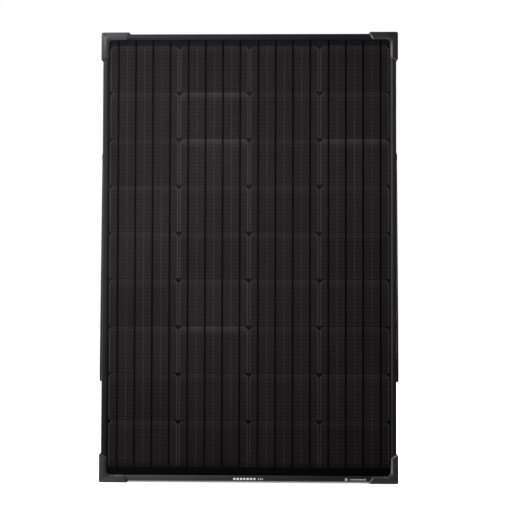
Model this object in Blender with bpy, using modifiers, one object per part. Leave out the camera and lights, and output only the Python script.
"""Rigid framed solar panel with moulded corner protectors and a folding kickstand.

The panel stands upright on its lower corner protectors. Width runs along X, height along +Z,
and the glass faces -Y. The origin is on the floor, in the middle of the object's outer box.
"""

import math

import bmesh
import bpy
from mathutils import Matrix

MM = 0.001
INCH = 25.4 * MM

# ------------------------------------------------------------------ driving dimensions
OVERALL_HEIGHT = 40 * INCH
OVERALL_WIDTH = 677 * MM
OVERALL_DEPTH = 1.75 * INCH
FRAME_WIDTH = 664 * MM
FRAME_DEPTH = 35 * MM
PROTECTOR_PROUD = 3.6 * MM
PROTECTOR_FACE = 1.7 * MM
GAP = 0.3 * MM  # between rigid pieces that meet
FILM_GAP = 0.1 * MM  # between the bonded sheets of the laminate

FRONT_Y = -OVERALL_DEPTH / 2
BACK_Y = OVERALL_DEPTH / 2
FRAME_FRONT_Y = FRONT_Y + PROTECTOR_FACE + GAP
FRAME_BACK_Y = FRAME_FRONT_Y + FRAME_DEPTH
FRAME_BOTTOM = PROTECTOR_PROUD
FRAME_TOP = OVERALL_HEIGHT - PROTECTOR_PROUD
FRAME_HEIGHT = FRAME_TOP - FRAME_BOTTOM
FRAME_MIDDLE = (FRAME_TOP + FRAME_BOTTOM) / 2

# Rail section: u runs inward from the rail's outer face, v runs back from its front face.
LIP_WIDTH = 13 * MM
LIP_THICKNESS = 1.8 * MM
OUTER_CHAMFER = (2.5 * MM, 2.2 * MM)
INNER_CHAMFER = (4.5 * MM, 1.3 * MM)
CHANNEL_WALL = 1.8 * MM
CHANNEL_FLOOR_V = 8.1 * MM
RAIL_WALL = 1.6 * MM
CHAMBER_BACK_V = 23 * MM
REAR_FLANGE_WIDTH = 28 * MM
MITRE_GAP = 0.15 * MM

SLOT_LENGTH = 14 * MM
SLOT_WIDTH = 9 * MM
SLOT_U = 20 * MM
SLOT_HEIGHTS = (0.27, 0.73)  # along the side rails, as a share of the frame's height
DRAIN_RADIUS = 2 * MM
RAIL_HOLE_REACH = 2 * RAIL_WALL  # how far a cutter goes past each face of a rail's wall

# Laminate: each sheet's front and back, counted back from the frame's front face.
GASKET_V = (1.9 * MM, 8.0 * MM)
GASKET_LEGS_V = (2.3 * MM, 7.75 * MM)
GLASS_V = (2.4 * MM, 5.6 * MM)
FRONT_ENCAPSULANT_V = (5.65 * MM, 6.05 * MM)
CELL_V = (6.1 * MM, 6.3 * MM)
BUS_V = (6.35 * MM, 6.55 * MM)
TAIL_V = (6.65 * MM, 6.8 * MM)
REAR_ENCAPSULANT_V = (6.9 * MM, 7.3 * MM)
BACKSHEET_V = (7.35 * MM, 7.65 * MM)
GASKET_OUTER_U = 1.95 * MM
GASKET_INNER_U = 12.6 * MM
GASKET_WEB_U = 3.35 * MM
LAMINATE_EDGE_U = 3.5 * MM

CELL_COLUMNS = 4
CELL_ROWS = 9
CELL_WIDTH = 156.75 * MM
CELL_HEIGHT = 104.5 * MM
CELL_CORNER = 7.5 * MM
COLUMN_PITCH = 158.75 * MM
ROW_PITCH = 106 * MM
TOP_MARGIN = 26.3 * MM
RIBBONS_PER_CELL = 4
RIBBON_WIDTH = 2.6 * MM

CELLS_TOP = FRAME_TOP - TOP_MARGIN
CELLS_BOTTOM = CELLS_TOP - (CELL_ROWS - 1) * ROW_PITCH - CELL_HEIGHT
BUS_HEIGHT = 3.6 * MM
OUTER_BUS_TOP = FRAME_TOP - 4.4 * MM
MIDDLE_BUS_TOP = OUTER_BUS_TOP - 4.4 * MM
LOWER_BUS_BOTTOM = FRAME_BOTTOM + 5.2 * MM
TAIL_WIDTH = 5 * MM
TAIL_X = 24 * MM

PROTECTOR_ARM = 66 * MM
PROTECTOR_INNER = 13 * MM
PROTECTOR_BEVEL = 4.5 * MM
PROTECTOR_END_SLANT = 9 * MM
PROTECTOR_END_SLOPE = 0.8  # length of the slope at an arm's end, as a share of the bevel
PROTECTOR_END_LAND = 0.6 * MM  # the slope stops this far from the arm's end
PROTECTOR_FACET = 7.5 * MM
PROTECTOR_RADIUS = 4 * MM
PROTECTOR_BACK_Y = FRAME_BACK_Y + GAP + PROTECTOR_FACE
DIMPLE_INSET = 4.2 * MM
DIMPLE_RADIUS = 1.7 * MM
DIMPLE_DEPTH = 0.7 * MM
PROTECTOR_SCREW_ALONG = 30 * MM
PROTECTOR_SCREW_ACROSS = 12 * MM
SCREW_HEAD = (4.2 * MM, 1.5 * MM)  # radius and height
SCREW_RADIUS = 2.2 * MM
SCREW_HOLE = 2.5 * MM
SCREW_LENGTH = 8 * MM
SCREW_TIP = (1.2 * MM, 2.4 * MM)  # radius of the blunt end and length of the taper

KEY_ARM = 48 * MM
KEY_TIP = 1.5 * MM

# Kickstand: two angle legs beside the side rails, joined behind the frame by a flat crossbar.
PIVOT_Z = 735.5 * MM
LEG_BOTTOM = 221.5 * MM
LEG_THICKNESS = 2 * MM
LEG_HALF_WIDTH = 10 * MM
LEG_FLANGE = 14 * MM
LEG_FLANGE_DROP = 10 * MM  # the rear flange starts this far below the pivot
LEG_CORNER = 5 * MM
CROSSBAR_THICKNESS = 2.2 * MM
CROSSBAR_HEIGHT = 25 * MM
CROSSBAR_INSET = 1.2 * MM  # its ends stop short of the legs' outer faces
RIVET_STAND_OFF = 1.5 * MM
LEG_BACK_Y = BACK_Y - RIVET_STAND_OFF - CROSSBAR_THICKNESS - GAP
CROSSBAR_BACK_Y = BACK_Y - RIVET_STAND_OFF
PIVOT_Y = LEG_BACK_Y - LEG_HALF_WIDTH
WASHER_THICKNESS = 1 * MM
WASHER_GAP = 0.15 * MM
LEG_INNER_X = FRAME_WIDTH / 2 + WASHER_THICKNESS + 2 * WASHER_GAP
LEG_LENGTH = PIVOT_Z - LEG_BOTTOM
SPLAY = math.asin(
    (OVERALL_WIDTH / 2 - LEG_INNER_X - LEG_THICKNESS) / (LEG_LENGTH - LEG_CORNER)
)
BOLT_RADIUS = 2.5 * MM
BOLT_HOLE = 2.8 * MM
BOLT_HEAD = (7.2 * MM, 1.8 * MM)
BOLT_END = 2 * MM  # how far the bolt runs past its nut
NUT_RADIUS = 4.6 * MM
NUT_HEIGHT = 4 * MM
WASHER_RADIUS = 8 * MM
RIVET_RADIUS = 2.2 * MM
RIVET_HOLE = 2.5 * MM
RIVET_HEAD_RADIUS = 4.2 * MM
RIVET_SHOP_HEAD = (3.4 * MM, 0.8 * MM)
RIVET_HEIGHTS = (227.5 * MM, 240.5 * MM)
RIVET_X = OVERALL_WIDTH / 2 - 9.3 * MM
FOOT_START_X = 255 * MM
FOOT_LENGTH = 45 * MM
FOOT_WALL = 1.2 * MM

# Junction box on the back of the laminate, near the top rail.
BOX_WIDTH = 110 * MM
BOX_HEIGHT = 70 * MM
BOX_DEPTH = 16 * MM
BOX_MIDDLE_Z = 940 * MM
BOX_RADIUS = 7 * MM
BOX_WALL = 2.2 * MM
BOX_FLOOR = 2 * MM
LID_THICKNESS = 2.5 * MM
BED_THICKNESS = 0.9 * MM
BOX_FRONT_Y = FRAME_FRONT_Y + BACKSHEET_V[1] + BED_THICKNESS + 2 * FILM_GAP
BOX_RIM_Y = BOX_FRONT_Y + BOX_DEPTH
BOX_TOP = BOX_MIDDLE_Z + BOX_HEIGHT / 2
BOX_BOTTOM = BOX_MIDDLE_Z - BOX_HEIGHT / 2
LEAD_SLOT = (64 * MM, 8 * MM)
LEAD_SLOT_Z = BOX_MIDDLE_Z + 17 * MM
HINGE_Y = BOX_RIM_Y
HINGE_Z = BOX_TOP + 3 * MM
KNUCKLE_RADIUS = 2.6 * MM
HINGE_PIN_RADIUS = 1.1 * MM
KNUCKLE_SPAN = (22 * MM, 35 * MM)
LUG_SPAN = (36 * MM, 42 * MM)
GLAND_X = 30 * MM
GLAND_Y = BOX_FRONT_Y + 8.5 * MM
GLAND_BORE = 3.5 * MM
GLAND_WALL_HOLE = 6 * MM
TERMINAL_XS = {"left": -TAIL_X, "middle": 0.0, "right": TAIL_X}
TERMINAL_SIZE = (14 * MM, 16 * MM, 3 * MM)
TERMINAL_TOP = LEAD_SLOT_Z - 1 * MM
TERMINAL_HOLE = 1.6 * MM
DIODE_RADIUS = 2.6 * MM
DIODE_BODY = 9 * MM
DIODE_LEAD_RADIUS = 0.5 * MM
DIODE_LEAD_LENGTH = 20 * MM

ROUND_STEPS = 24
SMALL_STEPS = 16
BORE_STEPS = 12
DOME = ((0, 1), (0.6, 0.87), (0.95, 0.45), (1, 0))  # shares of a head's radius and height

SIDES = {"left": -1, "right": 1}
ENDS = {"bottom": -1, "top": 1}

OBJECT_NAME = "solar_panel_with_kickstand"


# ------------------------------------------------------------------ scene and materials
def clear_scene():
    for item in list(bpy.data.objects):
        bpy.data.objects.remove(item, do_unlink=True)


def new_collection(name):
    collection = bpy.data.collections.new(name)
    bpy.context.scene.collection.children.link(collection)
    return collection


def new_material(name, colour, roughness, metallic=0.0):
    material = bpy.data.materials.new(name)
    material.use_nodes = True
    shader = material.node_tree.nodes["Principled BSDF"]
    shader.inputs["Base Color"].default_value = (*colour, 1.0)
    shader.inputs["Roughness"].default_value = roughness
    shader.inputs["Metallic"].default_value = metallic
    return material


clear_scene()
PIECES = new_collection(OBJECT_NAME)
TOOLS = new_collection("cutters")

MATERIALS = {
    "frame": new_material("black_anodised_frame", (0.018, 0.018, 0.020), 0.38, 1.0),
    "key": new_material("plain_aluminium", (0.62, 0.63, 0.65), 0.42, 1.0),
    "protector": new_material("black_moulded_plastic", (0.030, 0.030, 0.032), 0.55),
    "screw": new_material("zinc_screw", (0.50, 0.50, 0.52), 0.35, 1.0),
    "glass": new_material("low_iron_glass", (0.80, 0.86, 0.84), 0.08),
    "encapsulant": new_material("clear_encapsulant", (0.85, 0.87, 0.85), 0.30),
    "cell": new_material("black_silicon_cell", (0.012, 0.011, 0.014), 0.30),
    "bus": new_material("tinned_copper_bus", (0.55, 0.50, 0.44), 0.35, 1.0),
    "backsheet": new_material("black_backsheet", (0.010, 0.010, 0.011), 0.60),
    "gasket": new_material("black_foam_gasket", (0.008, 0.008, 0.008), 0.85),
    "box": new_material("black_box_plastic", (0.020, 0.020, 0.021), 0.48),
    "seal": new_material("silicone_seal", (0.18, 0.18, 0.18), 0.70),
    "terminal": new_material("tinned_brass_terminal", (0.60, 0.52, 0.34), 0.32, 1.0),
    "diode": new_material("diode_body", (0.015, 0.015, 0.016), 0.40),
    "stand": new_material("black_anodised_stand", (0.020, 0.020, 0.022), 0.40, 1.0),
    "rivet": new_material("aluminium_rivet", (0.55, 0.56, 0.58), 0.38, 1.0),
    "bolt": new_material("black_zinc_bolt", (0.035, 0.035, 0.038), 0.36, 1.0),
    "washer": new_material("nylon_washer", (0.62, 0.61, 0.57), 0.55),
    "rubber": new_material("black_rubber", (0.012, 0.012, 0.012), 0.80),
}


# ------------------------------------------------------------------ modelling helpers
def weld(mesh):
    """Joins the loose caps of a filled outline to its sides and points every face outward."""
    work = bmesh.new()
    work.from_mesh(mesh)
    bmesh.ops.remove_doubles(work, verts=work.verts, dist=0.000001)
    bmesh.ops.recalc_face_normals(work, faces=work.faces)
    work.to_mesh(mesh)
    work.free()


def prism(name, outlines, low, high, axis="Z"):
    """A solid of one or more flat outlines between two levels of an axis.

    The outlines are given in XY for axis Z, in XZ for axis Y and in YZ for axis X.
    """
    curve = bpy.data.curves.new(name, "CURVE")
    curve.dimensions = "2D"
    curve.fill_mode = "BOTH"
    curve.extrude = (high - low) / 2
    for outline in outlines:
        spline = curve.splines.new("POLY")
        spline.points.add(len(outline) - 1)
        for point, (first, second) in zip(spline.points, outline):
            point.co = (first, second, 0.0, 1.0)
        spline.use_cyclic_u = True
    guide = bpy.data.objects.new(name, curve)
    TOOLS.objects.link(guide)
    depsgraph = bpy.context.evaluated_depsgraph_get()
    mesh = bpy.data.meshes.new_from_object(guide.evaluated_get(depsgraph))
    bpy.data.objects.remove(guide)
    middle = (low + high) / 2
    turns = {
        "Z": Matrix.Translation((0, 0, middle)),
        "Y": Matrix.Translation((0, middle, 0)) @ Matrix.Rotation(math.pi / 2, 4, "X"),
        "X": Matrix.Translation((middle, 0, 0))
        @ Matrix.Rotation(math.pi / 2, 4, "Z")
        @ Matrix.Rotation(math.pi / 2, 4, "X"),
    }
    mesh.transform(turns[axis])
    weld(mesh)
    mesh.shade_flat()
    return mesh


def box(name, low, high):
    """A block between its lowest and highest corners."""
    work = bmesh.new()
    bmesh.ops.create_cube(work, size=1.0)
    size = [h - l for l, h in zip(low, high)]
    middle = [(l + h) / 2 for l, h in zip(low, high)]
    bmesh.ops.scale(work, vec=size, verts=work.verts)
    bmesh.ops.translate(work, vec=middle, verts=work.verts)
    mesh = bpy.data.meshes.new(name)
    work.to_mesh(mesh)
    work.free()
    return mesh


def cylinder(name, radius, low, high, axis="Z", steps=ROUND_STEPS):
    """A round bar about an axis of its own space, between two levels of that axis."""
    work = bmesh.new()
    bmesh.ops.create_cone(
        work,
        cap_ends=True,
        segments=steps,
        radius1=radius,
        radius2=radius,
        depth=high - low,
    )
    bmesh.ops.translate(work, vec=(0, 0, (low + high) / 2), verts=work.verts)
    mesh = bpy.data.meshes.new(name)
    work.to_mesh(mesh)
    work.free()
    turns = {
        "Z": Matrix.Identity(4),
        "X": Matrix.Rotation(math.pi / 2, 4, "Y"),
        "Y": Matrix.Rotation(-math.pi / 2, 4, "X"),
    }
    mesh.transform(turns[axis])
    return mesh


def smooth(mesh):
    mesh.shade_smooth()
    mesh.set_sharp_from_angle(angle=math.radians(35))


def add_piece(name, mesh, material, location=(0, 0, 0), rotation=(0, 0, 0), parent=None):
    piece = bpy.data.objects.new(name, mesh)
    PIECES.objects.link(piece)
    piece.data.materials.clear()
    piece.data.materials.append(MATERIALS[material])
    piece.location = location
    piece.rotation_euler = rotation
    piece.parent = parent
    return piece


def add_tool(target, mesh, operation, location=(0, 0, 0), rotation=(0, 0, 0)):
    """Cuts a piece with a mesh, or joins the mesh to it, in the space of the piece's parent."""
    tool = bpy.data.objects.new(mesh.name, mesh)
    TOOLS.objects.link(tool)
    tool.location = location
    tool.rotation_euler = rotation
    tool.parent = target.parent
    tool.hide_render = True
    tool.display_type = "WIRE"
    modifier = target.modifiers.new(mesh.name, "BOOLEAN")
    modifier.operation = operation
    modifier.solver = "EXACT"
    modifier.object = tool


def cut(target, mesh, location=(0, 0, 0), rotation=(0, 0, 0)):
    add_tool(target, mesh, "DIFFERENCE", location, rotation)


def join(target, mesh, location=(0, 0, 0), rotation=(0, 0, 0)):
    add_tool(target, mesh, "UNION", location, rotation)


def bevel(piece, width, segments, angle):
    modifier = piece.modifiers.new("bevel", "BEVEL")
    modifier.width = width
    modifier.segments = segments
    modifier.limit_method = "ANGLE"
    modifier.angle_limit = math.radians(angle)


def turned(name, profile, material, location, rotation, steps=SMALL_STEPS, parent=None):
    """A turned piece about its own Z, from (radius, height) points that run down its outer side.

    A profile that never reaches the axis is closed into a ring.
    """
    mesh = bpy.data.meshes.new(name)
    points = [(radius, 0.0, height) for radius, height in profile]
    edges = [(index, index + 1) for index in range(len(points) - 1)]
    if profile[0][0] > 0:
        edges.append((len(points) - 1, 0))
    mesh.from_pydata(points, edges, [])
    piece = add_piece(name, mesh, material, location, rotation, parent)
    screw = piece.modifiers.new("turn", "SCREW")
    screw.axis = "Z"
    screw.steps = steps
    screw.render_steps = steps
    screw.use_merge_vertices = True
    screw.merge_threshold = 0.00001
    screw.use_smooth_shade = True
    return piece


def domed_head(size, base):
    """Outer side of a low domed head, from its top on the axis down to its rim."""
    radius, height = size
    return [(across * radius, base + up * height) for across, up in DOME]


def rectangle(left, right, bottom, top):
    return [(left, bottom), (right, bottom), (right, top), (left, top)]


def arc(centre, radius, start, end, steps):
    """Points on an arc, from one angle to another in degrees."""
    points = []
    for step in range(steps + 1):
        angle = math.radians(start + (end - start) * step / steps)
        points.append(
            (centre[0] + radius * math.cos(angle), centre[1] + radius * math.sin(angle))
        )
    return points


def rounded_rectangle(left, right, bottom, top, radius, steps=4):
    corners = (
        (right - radius, bottom + radius, -90),
        (right - radius, top - radius, 0),
        (left + radius, top - radius, 90),
        (left + radius, bottom + radius, 180),
    )
    points = []
    for x, z, start in corners:
        points += arc((x, z), radius, start, start + 90, steps)
    return points


def slot_outline(x, z, length, width):
    """An upright slot with round ends."""
    reach = (length - width) / 2
    upper = arc((x, z + reach), width / 2, 0, 180, 6)
    lower = arc((x, z - reach), width / 2, 180, 360, 6)
    return upper + lower


def depth(v):
    """World Y of a depth counted back from the frame's front face."""
    return FRAME_FRONT_Y + v


# ------------------------------------------------------------------ aluminium frame
def rail_outlines():
    lip_inner = LIP_WIDTH - INNER_CHAMFER[0]
    flange_front = FRAME_DEPTH - RAIL_WALL
    section = [
        (0, OUTER_CHAMFER[1]),
        (OUTER_CHAMFER[0], 0),
        (lip_inner, 0),
        (LIP_WIDTH, INNER_CHAMFER[1]),
        (LIP_WIDTH, LIP_THICKNESS),
        (CHANNEL_WALL, LIP_THICKNESS),
        (CHANNEL_WALL, CHANNEL_FLOOR_V),
        (LIP_WIDTH, CHANNEL_FLOOR_V),
        (LIP_WIDTH, CHAMBER_BACK_V),
        (RAIL_WALL, CHAMBER_BACK_V),
        (RAIL_WALL, flange_front),
        (REAR_FLANGE_WIDTH, flange_front),
        (REAR_FLANGE_WIDTH, FRAME_DEPTH),
        (0, FRAME_DEPTH),
    ]
    chamber = rectangle(
        RAIL_WALL,
        LIP_WIDTH - RAIL_WALL,
        CHANNEL_FLOOR_V + RAIL_WALL,
        CHAMBER_BACK_V - RAIL_WALL,
    )
    return [section, chamber]


def mitred_rail(name, length):
    """A rail along local Z whose ends are cut at 45 degrees, shorter towards the inside."""
    mesh = prism(name, rail_outlines(), -length / 2, length / 2)
    for vertex in mesh.vertices:
        shortened = length / 2 - vertex.co.x - MITRE_GAP
        vertex.co.z = math.copysign(shortened, vertex.co.z)
    return mesh


def build_frame():
    places = {
        "left": ((-FRAME_WIDTH / 2, FRAME_MIDDLE), 0, FRAME_HEIGHT),
        "right": ((FRAME_WIDTH / 2, FRAME_MIDDLE), math.pi, FRAME_HEIGHT),
        "bottom": ((0, FRAME_BOTTOM), -math.pi / 2, FRAME_WIDTH),
        "top": ((0, FRAME_TOP), math.pi / 2, FRAME_WIDTH),
    }
    rails = {}
    for side, ((x, z), turn, length) in places.items():
        name = f"frame_rail_{side}"
        rails[side] = add_piece(
            name,
            mitred_rail(name, length),
            "frame",
            (x, FRAME_FRONT_Y, z),
            (0, turn, 0),
        )
    for side, sign in SIDES.items():
        add_side_rail_holes(rails[side], sign)
    for end, sign in ENDS.items():
        add_end_rail_holes(rails[end], end, sign)


def add_side_rail_holes(rail, sign):
    """Mounting slots in the rear flange and the hole for the kickstand's pivot bolt."""
    slot_x = sign * (FRAME_WIDTH / 2 - SLOT_U)
    slots = [
        slot_outline(slot_x, FRAME_BOTTOM + share * FRAME_HEIGHT, SLOT_LENGTH, SLOT_WIDTH)
        for share in SLOT_HEIGHTS
    ]
    reach = RAIL_HOLE_REACH
    cut(rail, prism("slots", slots, FRAME_BACK_Y - reach, FRAME_BACK_Y + reach, "Y"))
    hole = cylinder("pivot_hole", BOLT_HOLE, -reach, reach, "X", SMALL_STEPS)
    cut(rail, hole, (sign * FRAME_WIDTH / 2, PIVOT_Y, PIVOT_Z))


def protector_screw_place(side, end):
    """X and Z of the screw that holds a corner protector to the top or bottom rail."""
    x = SIDES[side] * (FRAME_WIDTH / 2 - PROTECTOR_SCREW_ALONG)
    z = FRAME_MIDDLE + ENDS[end] * (FRAME_HEIGHT / 2 - PROTECTOR_SCREW_ACROSS)
    return x, z


def add_end_rail_holes(rail, end, sign):
    """Screw holes in the rear flange, and drain holes through the outer wall of the bottom rail."""
    reach = RAIL_HOLE_REACH
    for side in SIDES:
        x, z = protector_screw_place(side, end)
        hole = cylinder("screw_hole", SCREW_HOLE, -reach, reach, "Y", SMALL_STEPS)
        cut(rail, hole, (x, FRAME_BACK_Y, z))
        if sign < 0:
            drain_x = SIDES[side] * FRAME_WIDTH / 4
            drain = cylinder("drain", DRAIN_RADIUS, -reach, reach, "Z", BORE_STEPS)
            drain_y = depth((CHAMBER_BACK_V + FRAME_DEPTH) / 2)
            cut(rail, drain, (drain_x, drain_y, FRAME_BOTTOM))


def corner_places():
    """Name, signs and frame corner of each of the four corners."""
    for end, sign_z in ENDS.items():
        for side, sign_x in SIDES.items():
            x = sign_x * FRAME_WIDTH / 2
            z = FRAME_MIDDLE + sign_z * FRAME_HEIGHT / 2
            yield f"{end}_{side}", sign_x, sign_z, x, z


def facing_corner(points, sign_x, sign_z):
    """Turns points counted inward from a frame corner into XZ offsets from that corner."""
    return [(-sign_x * along, -sign_z * across) for along, across in points]


def build_corner_keys():
    inner = RAIL_WALL + GAP
    outer = LIP_WIDTH - RAIL_WALL - GAP
    outline = [
        (inner, inner),
        (KEY_ARM - KEY_TIP, inner),
        (KEY_ARM, inner + KEY_TIP),
        (KEY_ARM, outer - KEY_TIP),
        (KEY_ARM - KEY_TIP, outer),
        (outer, outer),
        (outer, KEY_ARM - KEY_TIP),
        (outer - KEY_TIP, KEY_ARM),
        (inner + KEY_TIP, KEY_ARM),
        (inner, KEY_ARM - KEY_TIP),
    ]
    front = depth(CHANNEL_FLOOR_V + RAIL_WALL + GAP)
    back = depth(CHAMBER_BACK_V - RAIL_WALL - GAP)
    for corner, sign_x, sign_z, x, z in corner_places():
        name = f"corner_key_{corner}"
        mesh = prism(name, [facing_corner(outline, sign_x, sign_z)], front, back, "Y")
        add_piece(name, mesh, "key", (x, 0, z))


# ------------------------------------------------------------------ corner protectors
def protector_outline():
    """Outline of a protector, counted inward from the frame's corner."""
    tip = PROTECTOR_ARM - PROTECTOR_PROUD
    shoulder = tip - PROTECTOR_PROUD
    edge = -PROTECTOR_PROUD
    centre = edge + PROTECTOR_RADIUS
    rounded = arc((centre, centre), PROTECTOR_RADIUS, 180, 270, 4)
    return rounded + [
        (shoulder, edge),
        (tip, 0),
        (tip - PROTECTOR_END_SLANT, PROTECTOR_INNER),
        (PROTECTOR_INNER, tip - PROTECTOR_END_SLANT),
        (0, tip),
        (edge, shoulder),
    ]


def window_outline():
    """The opening of a protector's front face: a corner with a 45 degree facet."""
    far = PROTECTOR_ARM + PROTECTOR_BEVEL
    turn = PROTECTOR_INNER + PROTECTOR_FACET
    return [
        (turn, PROTECTOR_INNER),
        (far, PROTECTOR_INNER),
        (far, far),
        (PROTECTOR_INNER, far),
        (PROTECTOR_INNER, turn),
    ]


def arm_end_outline():
    """The space past the slanted end of the arm that runs along X."""
    tip = PROTECTOR_ARM - PROTECTOR_PROUD - PROTECTOR_END_LAND
    far = PROTECTOR_ARM + 2 * PROTECTOR_BEVEL
    lean = PROTECTOR_END_SLANT / PROTECTOR_INNER
    outer = -2 * PROTECTOR_PROUD
    inner = PROTECTOR_INNER + PROTECTOR_PROUD
    return [(tip - lean * outer, outer), (far, outer), (far, inner), (tip - lean * inner, inner)]


def slope_cutter(name, points, sign_x, sign_z, towards, overrun):
    """A cutter for the front face whose sides slope down to the frame's lip.

    Its outline is counted inward from the frame's corner at the height of the lip, and grows
    towards the corner, along the arm and across it by the shares given, as it comes forward.
    It runs past the face, and past the height of the lip, by the overrun.
    """
    front = FRONT_Y - overrun
    back = FRAME_FRONT_Y - GAP + overrun
    mesh = prism(name, [facing_corner(points, sign_x, sign_z)], front, back, "Y")
    slope = PROTECTOR_BEVEL / PROTECTOR_FACE
    for vertex in mesh.vertices:
        shift = slope * (FRAME_FRONT_Y - GAP - vertex.co.y)
        vertex.co.x += sign_x * shift * towards[0]
        vertex.co.z += sign_z * shift * towards[1]
    return mesh


def build_protectors():
    far = PROTECTOR_ARM * 1.5
    for corner, sign_x, sign_z, x, z in corner_places():
        name = f"corner_protector_{corner}"
        outline = facing_corner(protector_outline(), sign_x, sign_z)
        mesh = prism(name, [outline], FRONT_Y, PROTECTOR_BACK_Y, "Y")
        piece = add_piece(name, mesh, "protector", (x, 0, z))
        envelope = facing_corner(rectangle(-GAP, far, -GAP, far), sign_x, sign_z)
        inside = prism(
            "frame_space", [envelope], FRAME_FRONT_Y - GAP, FRAME_BACK_Y + GAP, "Y"
        )
        cut(piece, inside, (x, 0, z))
        end_outline = arm_end_outline()
        turned_outline = [(across, along) for along, across in reversed(end_outline)]
        openings = {
            "window": (window_outline(), (1, 1), 0.5 * MM),
            "end_slope_across": (end_outline, (PROTECTOR_END_SLOPE, 0), 0.7 * MM),
            "end_slope_up": (turned_outline, (0, PROTECTOR_END_SLOPE), 0.9 * MM),
        }
        for opening, (points, towards, overrun) in openings.items():
            cutter = slope_cutter(opening, points, sign_x, sign_z, towards, overrun)
            cut(piece, cutter, (x, 0, z))
        dimple = cylinder("dimple", DIMPLE_RADIUS, -DIMPLE_DEPTH, DIMPLE_DEPTH, "Y", SMALL_STEPS)
        dimple_x = x - sign_x * DIMPLE_INSET
        dimple_z = z - sign_z * DIMPLE_INSET
        cut(piece, dimple, (dimple_x, FRONT_Y, dimple_z))
        end, side = corner.split("_")
        screw_x, screw_z = protector_screw_place(side, end)
        reach = RAIL_HOLE_REACH
        hole = cylinder("screw_hole", SCREW_HOLE, -reach, reach, "Y", SMALL_STEPS)
        cut(piece, hole, (screw_x, PROTECTOR_BACK_Y, screw_z))
        tip_radius, taper = SCREW_TIP
        profile = domed_head(SCREW_HEAD, GAP / 2) + [
            (SCREW_RADIUS, GAP / 2),
            (SCREW_RADIUS, -SCREW_LENGTH),
            (tip_radius, -SCREW_LENGTH - taper),
            (0, -SCREW_LENGTH - taper),
        ]
        turned(
            f"protector_screw_{corner}",
            profile,
            "screw",
            (screw_x, PROTECTOR_BACK_Y, screw_z),
            (-math.pi / 2, 0, 0),
        )


# ------------------------------------------------------------------ laminate
def sheet_outline(inset):
    left = -FRAME_WIDTH / 2 + inset
    return rectangle(left, -left, FRAME_BOTTOM + inset, FRAME_TOP - inset)


def sheet(name, material, span):
    mesh = prism(name, [sheet_outline(LAMINATE_EDGE_U)], depth(span[0]), depth(span[1]), "Y")
    return add_piece(name, mesh, material)


def lead_slot():
    width, height = LEAD_SLOT
    outline = rectangle(
        -width / 2, width / 2, LEAD_SLOT_Z - height / 2, LEAD_SLOT_Z + height / 2
    )
    back = BOX_FRONT_Y + 2 * BOX_FLOOR
    return prism("lead_slot", [outline], depth(REAR_ENCAPSULANT_V[0] - FILM_GAP), back, "Y")


def build_laminate():
    sheet("front_glass", "glass", GLASS_V)
    sheet("front_encapsulant", "encapsulant", FRONT_ENCAPSULANT_V)
    rear = sheet("rear_encapsulant", "encapsulant", REAR_ENCAPSULANT_V)
    backsheet = sheet("backsheet", "backsheet", BACKSHEET_V)
    cut(rear, lead_slot())
    cut(backsheet, lead_slot())

    ring = [sheet_outline(GASKET_OUTER_U), sheet_outline(GASKET_INNER_U)]
    mesh = prism("edge_gasket", ring, depth(GASKET_V[0]), depth(GASKET_V[1]), "Y")
    gasket = add_piece("edge_gasket", mesh, "gasket")
    groove = [sheet_outline(GASKET_WEB_U)]
    cut(gasket, prism("groove", groove, depth(GASKET_LEGS_V[0]), depth(GASKET_LEGS_V[1]), "Y"))


def column_middle(column):
    return (column - (CELL_COLUMNS - 1) / 2) * COLUMN_PITCH


def ribbon_edges(middle):
    """Left and right edge of each of a column's ribbons, from left to right."""
    edges = []
    for index in range(RIBBONS_PER_CELL):
        x = middle + CELL_WIDTH * ((index + 0.5) / RIBBONS_PER_CELL - 0.5)
        edges.append((x - RIBBON_WIDTH / 2, x + RIBBON_WIDTH / 2))
    return edges


def string_outlines(middle, ribbon_top):
    """Outline of a column of cells linked by ribbons, and the openings between the links.

    A cell is a slice of a larger wafer, so only its two upper corners are cut off.
    """
    left = middle - CELL_WIDTH / 2
    right = middle + CELL_WIDTH / 2
    ribbons = ribbon_edges(middle)
    tops = [CELLS_TOP - row * ROW_PITCH for row in reversed(range(CELL_ROWS))]
    outline = []
    for start, end in ribbons:
        outline += [
            (start, CELLS_BOTTOM),
            (start, LOWER_BUS_BOTTOM),
            (end, LOWER_BUS_BOTTOM),
            (end, CELLS_BOTTOM),
        ]
    for top in tops:
        if top != tops[0]:
            outline.append((ribbons[-1][1], top - CELL_HEIGHT))
        outline += [
            (right, top - CELL_HEIGHT),
            (right, top - CELL_CORNER),
            (right - CELL_CORNER, top),
        ]
        if top != tops[-1]:
            outline.append((ribbons[-1][1], top))
    for start, end in reversed(ribbons):
        outline += [
            (end, CELLS_TOP),
            (end, ribbon_top),
            (start, ribbon_top),
            (start, CELLS_TOP),
        ]
    for top in reversed(tops):
        if top != tops[-1]:
            outline.append((ribbons[0][0], top))
        outline += [
            (left + CELL_CORNER, top),
            (left, top - CELL_CORNER),
            (left, top - CELL_HEIGHT),
        ]
        if top != tops[0]:
            outline.append((ribbons[0][0], top - CELL_HEIGHT))
    openings = [
        rectangle(before[1], after[0], top, top + ROW_PITCH - CELL_HEIGHT)
        for top in tops[:-1]
        for before, after in zip(ribbons, ribbons[1:])
    ]
    return [outline] + openings


def build_cell_strings():
    """Each string is a column of cells joined by its ribbons, which run on to the bus bars."""
    for column in range(CELL_COLUMNS):
        name = f"cell_string_{column + 1}"
        outer_column = column in (0, CELL_COLUMNS - 1)
        ribbon_top = OUTER_BUS_TOP if outer_column else MIDDLE_BUS_TOP
        outlines = string_outlines(column_middle(column), ribbon_top)
        mesh = prism(name, outlines, depth(CELL_V[0]), depth(CELL_V[1]), "Y")
        add_piece(name, mesh, "cell")


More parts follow.
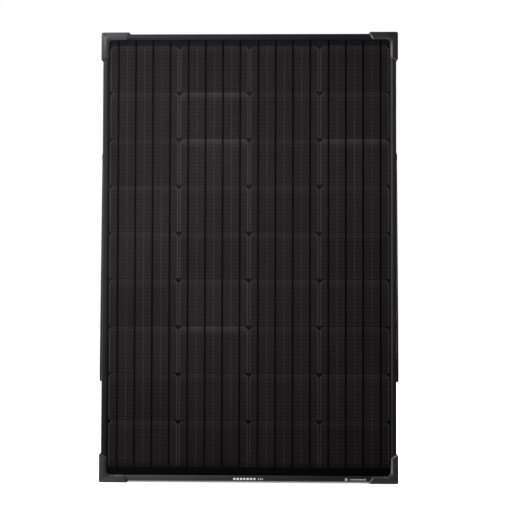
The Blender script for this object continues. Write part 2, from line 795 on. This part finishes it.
def build_bus_bars():
    def bus(name, left, right, bottom):
        outline = rectangle(left, right, bottom, bottom + BUS_HEIGHT)
        mesh = prism(name, [outline], depth(BUS_V[0]), depth(BUS_V[1]), "Y")
        return add_piece(name, mesh, "bus")

    def add_tail(piece, x, bus_bottom):
        """A flat lead from the bus down behind the cells, and back into the junction box."""
        left = x - TAIL_WIDTH / 2
        right = x + TAIL_WIDTH / 2
        top = bus_bottom + BUS_HEIGHT - FILM_GAP
        strip = box("strip", (left, depth(TAIL_V[0]), LEAD_SLOT_Z), (right, depth(TAIL_V[1]), top))
        link = box(
            "link",
            (left, depth(BUS_V[0]) + FILM_GAP / 2, bus_bottom + FILM_GAP),
            (right, depth(TAIL_V[1]) - FILM_GAP / 4, top - FILM_GAP),
        )
        stub_back = BOX_FRONT_Y + BOX_FLOOR + 2 * MM
        stub_top = LEAD_SLOT_Z + 0.3 * MM
        stub = box(
            "stub",
            (left + FILM_GAP, depth(TAIL_V[0]) + FILM_GAP / 2, LEAD_SLOT_Z + FILM_GAP / 2),
            (right - FILM_GAP, stub_back, stub_top),
        )
        for mesh in (link, strip, stub):
            join(piece, mesh)

    reach = CELL_WIDTH / 2 - CELL_WIDTH / RIBBONS_PER_CELL / 3
    outer = column_middle(CELL_COLUMNS - 1)
    inner = column_middle(CELL_COLUMNS // 2)
    outer_bottom = OUTER_BUS_TOP - BUS_HEIGHT
    middle_bottom = MIDDLE_BUS_TOP - BUS_HEIGHT
    tail_edge = TAIL_X - TAIL_WIDTH
    left = bus("bus_bar_top_left", -outer - reach, -tail_edge, outer_bottom)
    right = bus("bus_bar_top_right", tail_edge, outer + reach, outer_bottom)
    middle = bus("bus_bar_top_middle", -inner - reach, inner + reach, middle_bottom)
    add_tail(left, -TAIL_X, outer_bottom)
    add_tail(right, TAIL_X, outer_bottom)
    add_tail(middle, 0.0, middle_bottom)
    bus("bus_bar_bottom_left", -outer - reach, -inner + reach, LOWER_BUS_BOTTOM)
    bus("bus_bar_bottom_right", inner - reach, outer + reach, LOWER_BUS_BOTTOM)


# ------------------------------------------------------------------ junction box
def box_outline(inset):
    half = BOX_WIDTH / 2 - inset
    return rounded_rectangle(
        -half, half, BOX_BOTTOM + inset, BOX_TOP - inset, BOX_RADIUS - inset
    )


def build_box_base():
    bed = prism(
        "junction_box_adhesive",
        [box_outline(1 * MM)],
        BOX_FRONT_Y - FILM_GAP - BED_THICKNESS,
        BOX_FRONT_Y - FILM_GAP,
        "Y",
    )
    cut(add_piece("junction_box_adhesive", bed, "seal"), lead_slot())

    mesh = prism("junction_box_base", [box_outline(0)], BOX_FRONT_Y, BOX_RIM_Y, "Y")
    base = add_piece("junction_box_base", mesh, "box")
    cavity = prism(
        "cavity", [box_outline(BOX_WALL)], BOX_FRONT_Y + BOX_FLOOR, BOX_RIM_Y + 5 * MM, "Y"
    )
    cut(base, cavity)
    cut(base, lead_slot())
    for sign in SIDES.values():
        hole = cylinder("gland_hole", GLAND_WALL_HOLE, -2 * BOX_WALL, 2 * BOX_WALL, "Z")
        cut(base, hole, (sign * GLAND_X, GLAND_Y, BOX_BOTTOM))
        near, far = sorted(sign * span for span in LUG_SPAN)
        lug = box(
            "lug",
            (near + FILM_GAP, BOX_RIM_Y - 7 * MM, BOX_TOP - 1 * MM),
            (far - FILM_GAP, HINGE_Y - FILM_GAP, HINGE_Z - 0.5 * MM),
        )
        join(base, lug)
        eye = cylinder("eye", KNUCKLE_RADIUS, near, far, "X", SMALL_STEPS)
        join(base, eye, (0, HINGE_Y, HINGE_Z))
    pin_hole = HINGE_PIN_RADIUS + GAP
    cut(
        base,
        cylinder("pin_hole", pin_hole, -LUG_SPAN[1] - MM, LUG_SPAN[1] + MM, "X", BORE_STEPS),
        (0, HINGE_Y, HINGE_Z),
    )

    seal_inset = BOX_WALL + GAP
    ring = [box_outline(seal_inset), box_outline(seal_inset + 1.6 * MM)]
    mesh = prism("junction_box_seal", ring, BOX_RIM_Y - 1.5 * MM, BOX_RIM_Y + FILM_GAP, "Y")
    add_piece("junction_box_seal", mesh, "seal")

    pin_length = 2 * LUG_SPAN[1] - 1 * MM
    name = "junction_box_hinge_pin"
    pin = cylinder(name, HINGE_PIN_RADIUS, -pin_length / 2, pin_length / 2, "X", BORE_STEPS)
    smooth(pin)
    add_piece(name, pin, "screw", (0, HINGE_Y, HINGE_Z))


def build_box_lid():
    """The lid's origin is on its hinge pin, so every height below is counted from the pin."""
    empty = bpy.data.objects.new("lid_hinge_axis", None)
    PIECES.objects.link(empty)
    empty.location = (0, HINGE_Y, HINGE_Z)
    half = BOX_WIDTH / 2
    bottom = BOX_BOTTOM - HINGE_Z
    top = BOX_TOP - 2 * GAP - HINGE_Z
    outline = rounded_rectangle(-half, half, bottom, top, BOX_RADIUS)
    mesh = prism("junction_box_lid", [outline], GAP, GAP + LID_THICKNESS, "Y")
    lid = add_piece("junction_box_lid", mesh, "box", parent=empty)
    bevel(lid, 0.8 * MM, 2, 60)
    for sign in SIDES.values():
        near, far = sorted(sign * span for span in KNUCKLE_SPAN)
        join(lid, cylinder("knuckle", KNUCKLE_RADIUS, near, far, "X", SMALL_STEPS))
        web = box(
            "web",
            (near + FILM_GAP, GAP + FILM_GAP, top - 2 * MM),
            (far - FILM_GAP, KNUCKLE_RADIUS - 3 * FILM_GAP, -0.5 * MM),
        )
        join(lid, web)
    bore = HINGE_PIN_RADIUS + GAP
    reach = KNUCKLE_SPAN[1] + MM
    cut(lid, cylinder("knuckle_bore", bore, -reach, reach, "X", BORE_STEPS))


def build_box_inside():
    width, height, thickness = TERMINAL_SIZE
    floor = BOX_FRONT_Y + BOX_FLOOR
    front = floor + GAP
    for place, x in TERMINAL_XS.items():
        name = f"terminal_{place}"
        mesh = box(
            name,
            (x - width / 2, front, TERMINAL_TOP - height),
            (x + width / 2, front + thickness, TERMINAL_TOP),
        )
        terminal = add_piece(name, mesh, "terminal")
        bevel(terminal, 0.4 * MM, 1, 60)
        hole = cylinder("clamp_hole", TERMINAL_HOLE, -2 * thickness, 2 * thickness, "Y", BORE_STEPS)
        cut(terminal, hole, (x, front, TERMINAL_TOP - height * 0.75))
    diode_y = front + thickness + DIODE_LEAD_RADIUS + GAP
    diode_z = TERMINAL_TOP - height * 0.3
    for side, sign in SIDES.items():
        name = f"bypass_diode_{side}"
        profile = [
            (0, DIODE_LEAD_LENGTH / 2),
            (DIODE_LEAD_RADIUS, DIODE_LEAD_LENGTH / 2),
            (DIODE_LEAD_RADIUS, DIODE_BODY / 2),
            (DIODE_RADIUS, DIODE_BODY / 2),
            (DIODE_RADIUS, -DIODE_BODY / 2),
            (DIODE_LEAD_RADIUS, -DIODE_BODY / 2),
            (DIODE_LEAD_RADIUS, -DIODE_LEAD_LENGTH / 2),
            (0, -DIODE_LEAD_LENGTH / 2),
        ]
        place = (sign * TAIL_X / 2, diode_y, diode_z)
        turned(name, profile, "diode", place, (0, math.pi / 2, 0))


def build_glands():
    """A threaded gland in the box's lower wall, and the cap nut that closes on it."""
    body = [
        (5.6 * MM, 6.5 * MM),
        (5.6 * MM, -GAP),
        (7.0 * MM, -GAP),
        (7.0 * MM, -4.0 * MM),
        (5.2 * MM, -4.0 * MM),
        (5.2 * MM, -12.0 * MM),
        (GLAND_BORE, -12.0 * MM),
        (GLAND_BORE, 6.5 * MM),
    ]
    nut = [
        (7.2 * MM, -4.4 * MM),
        (7.2 * MM, -12.5 * MM),
        (6.6 * MM, -15.0 * MM),
        (5.2 * MM, -17.6 * MM),
        (GLAND_BORE + 0.2 * MM, -18.0 * MM),
        (GLAND_BORE + 0.2 * MM, -14.0 * MM),
        (5.6 * MM, -12.6 * MM),
        (5.6 * MM, -4.4 * MM),
    ]
    for side, sign in SIDES.items():
        place = (sign * GLAND_X, GLAND_Y, BOX_BOTTOM)
        turned(f"cable_gland_{side}", body, "box", place, (0, 0, 0), ROUND_STEPS)
        turned(f"gland_nut_{side}", nut, "box", place, (0, 0, 0), ROUND_STEPS)


# ------------------------------------------------------------------ kickstand
def leg_flange_outline():
    """The side flange in YZ about the pivot: a bar with a round upper end."""
    upper = arc((0, 0), LEG_HALF_WIDTH, 0, 180, 10)
    return upper + [(-LEG_HALF_WIDTH, -LEG_LENGTH), (LEG_HALF_WIDTH, -LEG_LENGTH)]


def build_leg(side, sign, stand):
    """An angle bar turned outward by the splay. Its origin is on the pivot axis."""
    name = f"stand_leg_{side}"
    inner, outer = sorted((0.0, sign * LEG_THICKNESS))
    mesh = prism(name, [leg_flange_outline()], inner, outer, "X")
    place = (sign * LEG_INNER_X, 0, 0)
    turn = (0, -sign * SPLAY, 0)
    leg = add_piece(name, mesh, "stand", place, turn, stand)

    overlap = 0.02 * MM  # the rear flange ends just inside the side flange
    near, far = sorted((sign * (LEG_THICKNESS - overlap), -sign * (LEG_FLANGE - LEG_THICKNESS)))
    flange = box(
        "rear_flange",
        (near, LEG_HALF_WIDTH - LEG_THICKNESS, -LEG_LENGTH + overlap),
        (far, LEG_HALF_WIDTH - overlap, -LEG_FLANGE_DROP),
    )
    join(leg, flange, place, turn)
    hole = cylinder("pivot_hole", BOLT_HOLE, -3 * LEG_THICKNESS, 3 * LEG_THICKNESS, "X", SMALL_STEPS)
    cut(leg, hole, place, turn)

    edge = sign * LEG_THICKNESS
    past = sign * MM
    corner = [
        (edge + past, -LEG_LENGTH - MM),
        (edge + past, -LEG_LENGTH + LEG_CORNER + MM),
        (edge - sign * LEG_CORNER - past, -LEG_LENGTH - MM),
    ]
    reach = 2 * LEG_HALF_WIDTH
    cut(leg, prism("end_chamfer", [corner], -reach, reach, "Y"), place, turn)
    for height in RIVET_HEIGHTS:
        hole = cylinder("rivet_hole", RIVET_HOLE, -reach, reach, "Y", SMALL_STEPS)
        cut(leg, hole, (sign * RIVET_X, LEG_HALF_WIDTH, height - PIVOT_Z))


def build_crossbar(stand):
    half = OVERALL_WIDTH / 2 - CROSSBAR_INSET
    bottom = -LEG_LENGTH
    top = bottom + CROSSBAR_HEIGHT
    outline = [
        (-half + LEG_CORNER, bottom),
        (half - LEG_CORNER, bottom),
        (half, bottom + LEG_CORNER),
        (half, top),
        (-half, top),
        (-half, bottom + LEG_CORNER),
    ]
    back = CROSSBAR_BACK_Y - PIVOT_Y
    mesh = prism("stand_crossbar", [outline], back - CROSSBAR_THICKNESS, back, "Y")
    crossbar = add_piece("stand_crossbar", mesh, "stand", parent=stand)
    reach = 2 * CROSSBAR_THICKNESS
    for sign in SIDES.values():
        for height in RIVET_HEIGHTS:
            hole = cylinder("rivet_hole", RIVET_HOLE, -reach, reach, "Y", SMALL_STEPS)
            cut(crossbar, hole, (sign * RIVET_X, back, height - PIVOT_Z))


def build_rivets(stand):
    """Rivets through the crossbar and the legs' rear flanges. Profile heights run towards +Y."""
    crossbar_back = CROSSBAR_BACK_Y - PIVOT_Y
    flange_front = LEG_HALF_WIDTH - LEG_THICKNESS
    shop = flange_front - crossbar_back - GAP / 2
    shop_radius, shop_height = RIVET_SHOP_HEAD
    profile = domed_head((RIVET_HEAD_RADIUS, RIVET_STAND_OFF - GAP / 2), GAP / 2) + [
        (RIVET_RADIUS, GAP / 2),
        (RIVET_RADIUS, shop),
        (shop_radius, shop),
        (shop_radius, shop - shop_height),
        (0, shop - shop_height),
    ]
    for side, sign in SIDES.items():
        for row, height in zip(("lower", "upper"), RIVET_HEIGHTS):
            turned(
                f"stand_rivet_{side}_{row}",
                profile,
                "rivet",
                (sign * RIVET_X, crossbar_back, height - PIVOT_Z),
                (-math.pi / 2, 0, 0),
                parent=stand,
            )


def build_feet(stand):
    """Rubber caps pressed on the crossbar's lower edge, open at the top."""
    back = CROSSBAR_BACK_Y - PIVOT_Y
    front = back - CROSSBAR_THICKNESS
    bottom = -LEG_LENGTH
    for side, sign in SIDES.items():
        near, far = sorted((sign * FOOT_START_X, sign * (FOOT_START_X + FOOT_LENGTH)))
        name = f"stand_foot_{side}"
        mesh = box(
            name,
            (near, front - GAP - FOOT_WALL, bottom - GAP - 2 * FOOT_WALL),
            (far, back + GAP + FOOT_WALL, bottom + CROSSBAR_HEIGHT * 0.6),
        )
        foot = add_piece(name, mesh, "rubber", parent=stand)
        groove = box(
            "foot_groove",
            (near - MM, front - GAP, bottom - GAP),
            (far + MM, back + GAP, bottom + CROSSBAR_HEIGHT),
        )
        bevel(foot, 0.7 * MM, 2, 60)
        cut(foot, groove)


def build_pivots():
    """Bolt, washer and lock nut that hold each leg to its side rail."""
    head = LEG_INNER_X + LEG_THICKNESS + GAP - FRAME_WIDTH / 2
    nut_start = RAIL_WALL + GAP
    nut_end = nut_start + NUT_HEIGHT
    profile = domed_head(BOLT_HEAD, head) + [
        (BOLT_RADIUS, head),
        (BOLT_RADIUS, -nut_end - BOLT_END),
        (0, -nut_end - BOLT_END),
    ]
    for side, sign in SIDES.items():
        place = (sign * FRAME_WIDTH / 2, PIVOT_Y, PIVOT_Z)
        outward = (0, sign * math.pi / 2, 0)
        turned(f"pivot_bolt_{side}", profile, "bolt", place, outward, ROUND_STEPS)

        washer = [
            (WASHER_RADIUS, WASHER_GAP + WASHER_THICKNESS),
            (WASHER_RADIUS, WASHER_GAP),
            (BOLT_HOLE, WASHER_GAP),
            (BOLT_HOLE, WASHER_GAP + WASHER_THICKNESS),
        ]
        turned(f"pivot_washer_{side}", washer, "washer", place, outward, ROUND_STEPS)

        name = f"pivot_nut_{side}"
        nut = cylinder(name, NUT_RADIUS, -nut_end, -nut_start, "Z", 6)
        piece = add_piece(name, nut, "bolt", place, outward)
        bore = cylinder("nut_bore", BOLT_HOLE, -2 * nut_end, nut_end, "Z", SMALL_STEPS)
        cut(piece, bore, place, outward)


def build_kickstand():
    stand = bpy.data.objects.new("stand_pivot_axis", None)
    PIECES.objects.link(stand)
    stand.location = (0, PIVOT_Y, PIVOT_Z)
    for side, sign in SIDES.items():
        build_leg(side, sign, stand)
    build_crossbar(stand)
    build_rivets(stand)
    build_feet(stand)
    build_pivots()


def main():
    build_frame()
    build_corner_keys()
    build_protectors()
    build_laminate()
    build_cell_strings()
    build_bus_bars()
    build_box_base()
    build_box_lid()
    build_box_inside()
    build_glands()
    build_kickstand()


main()
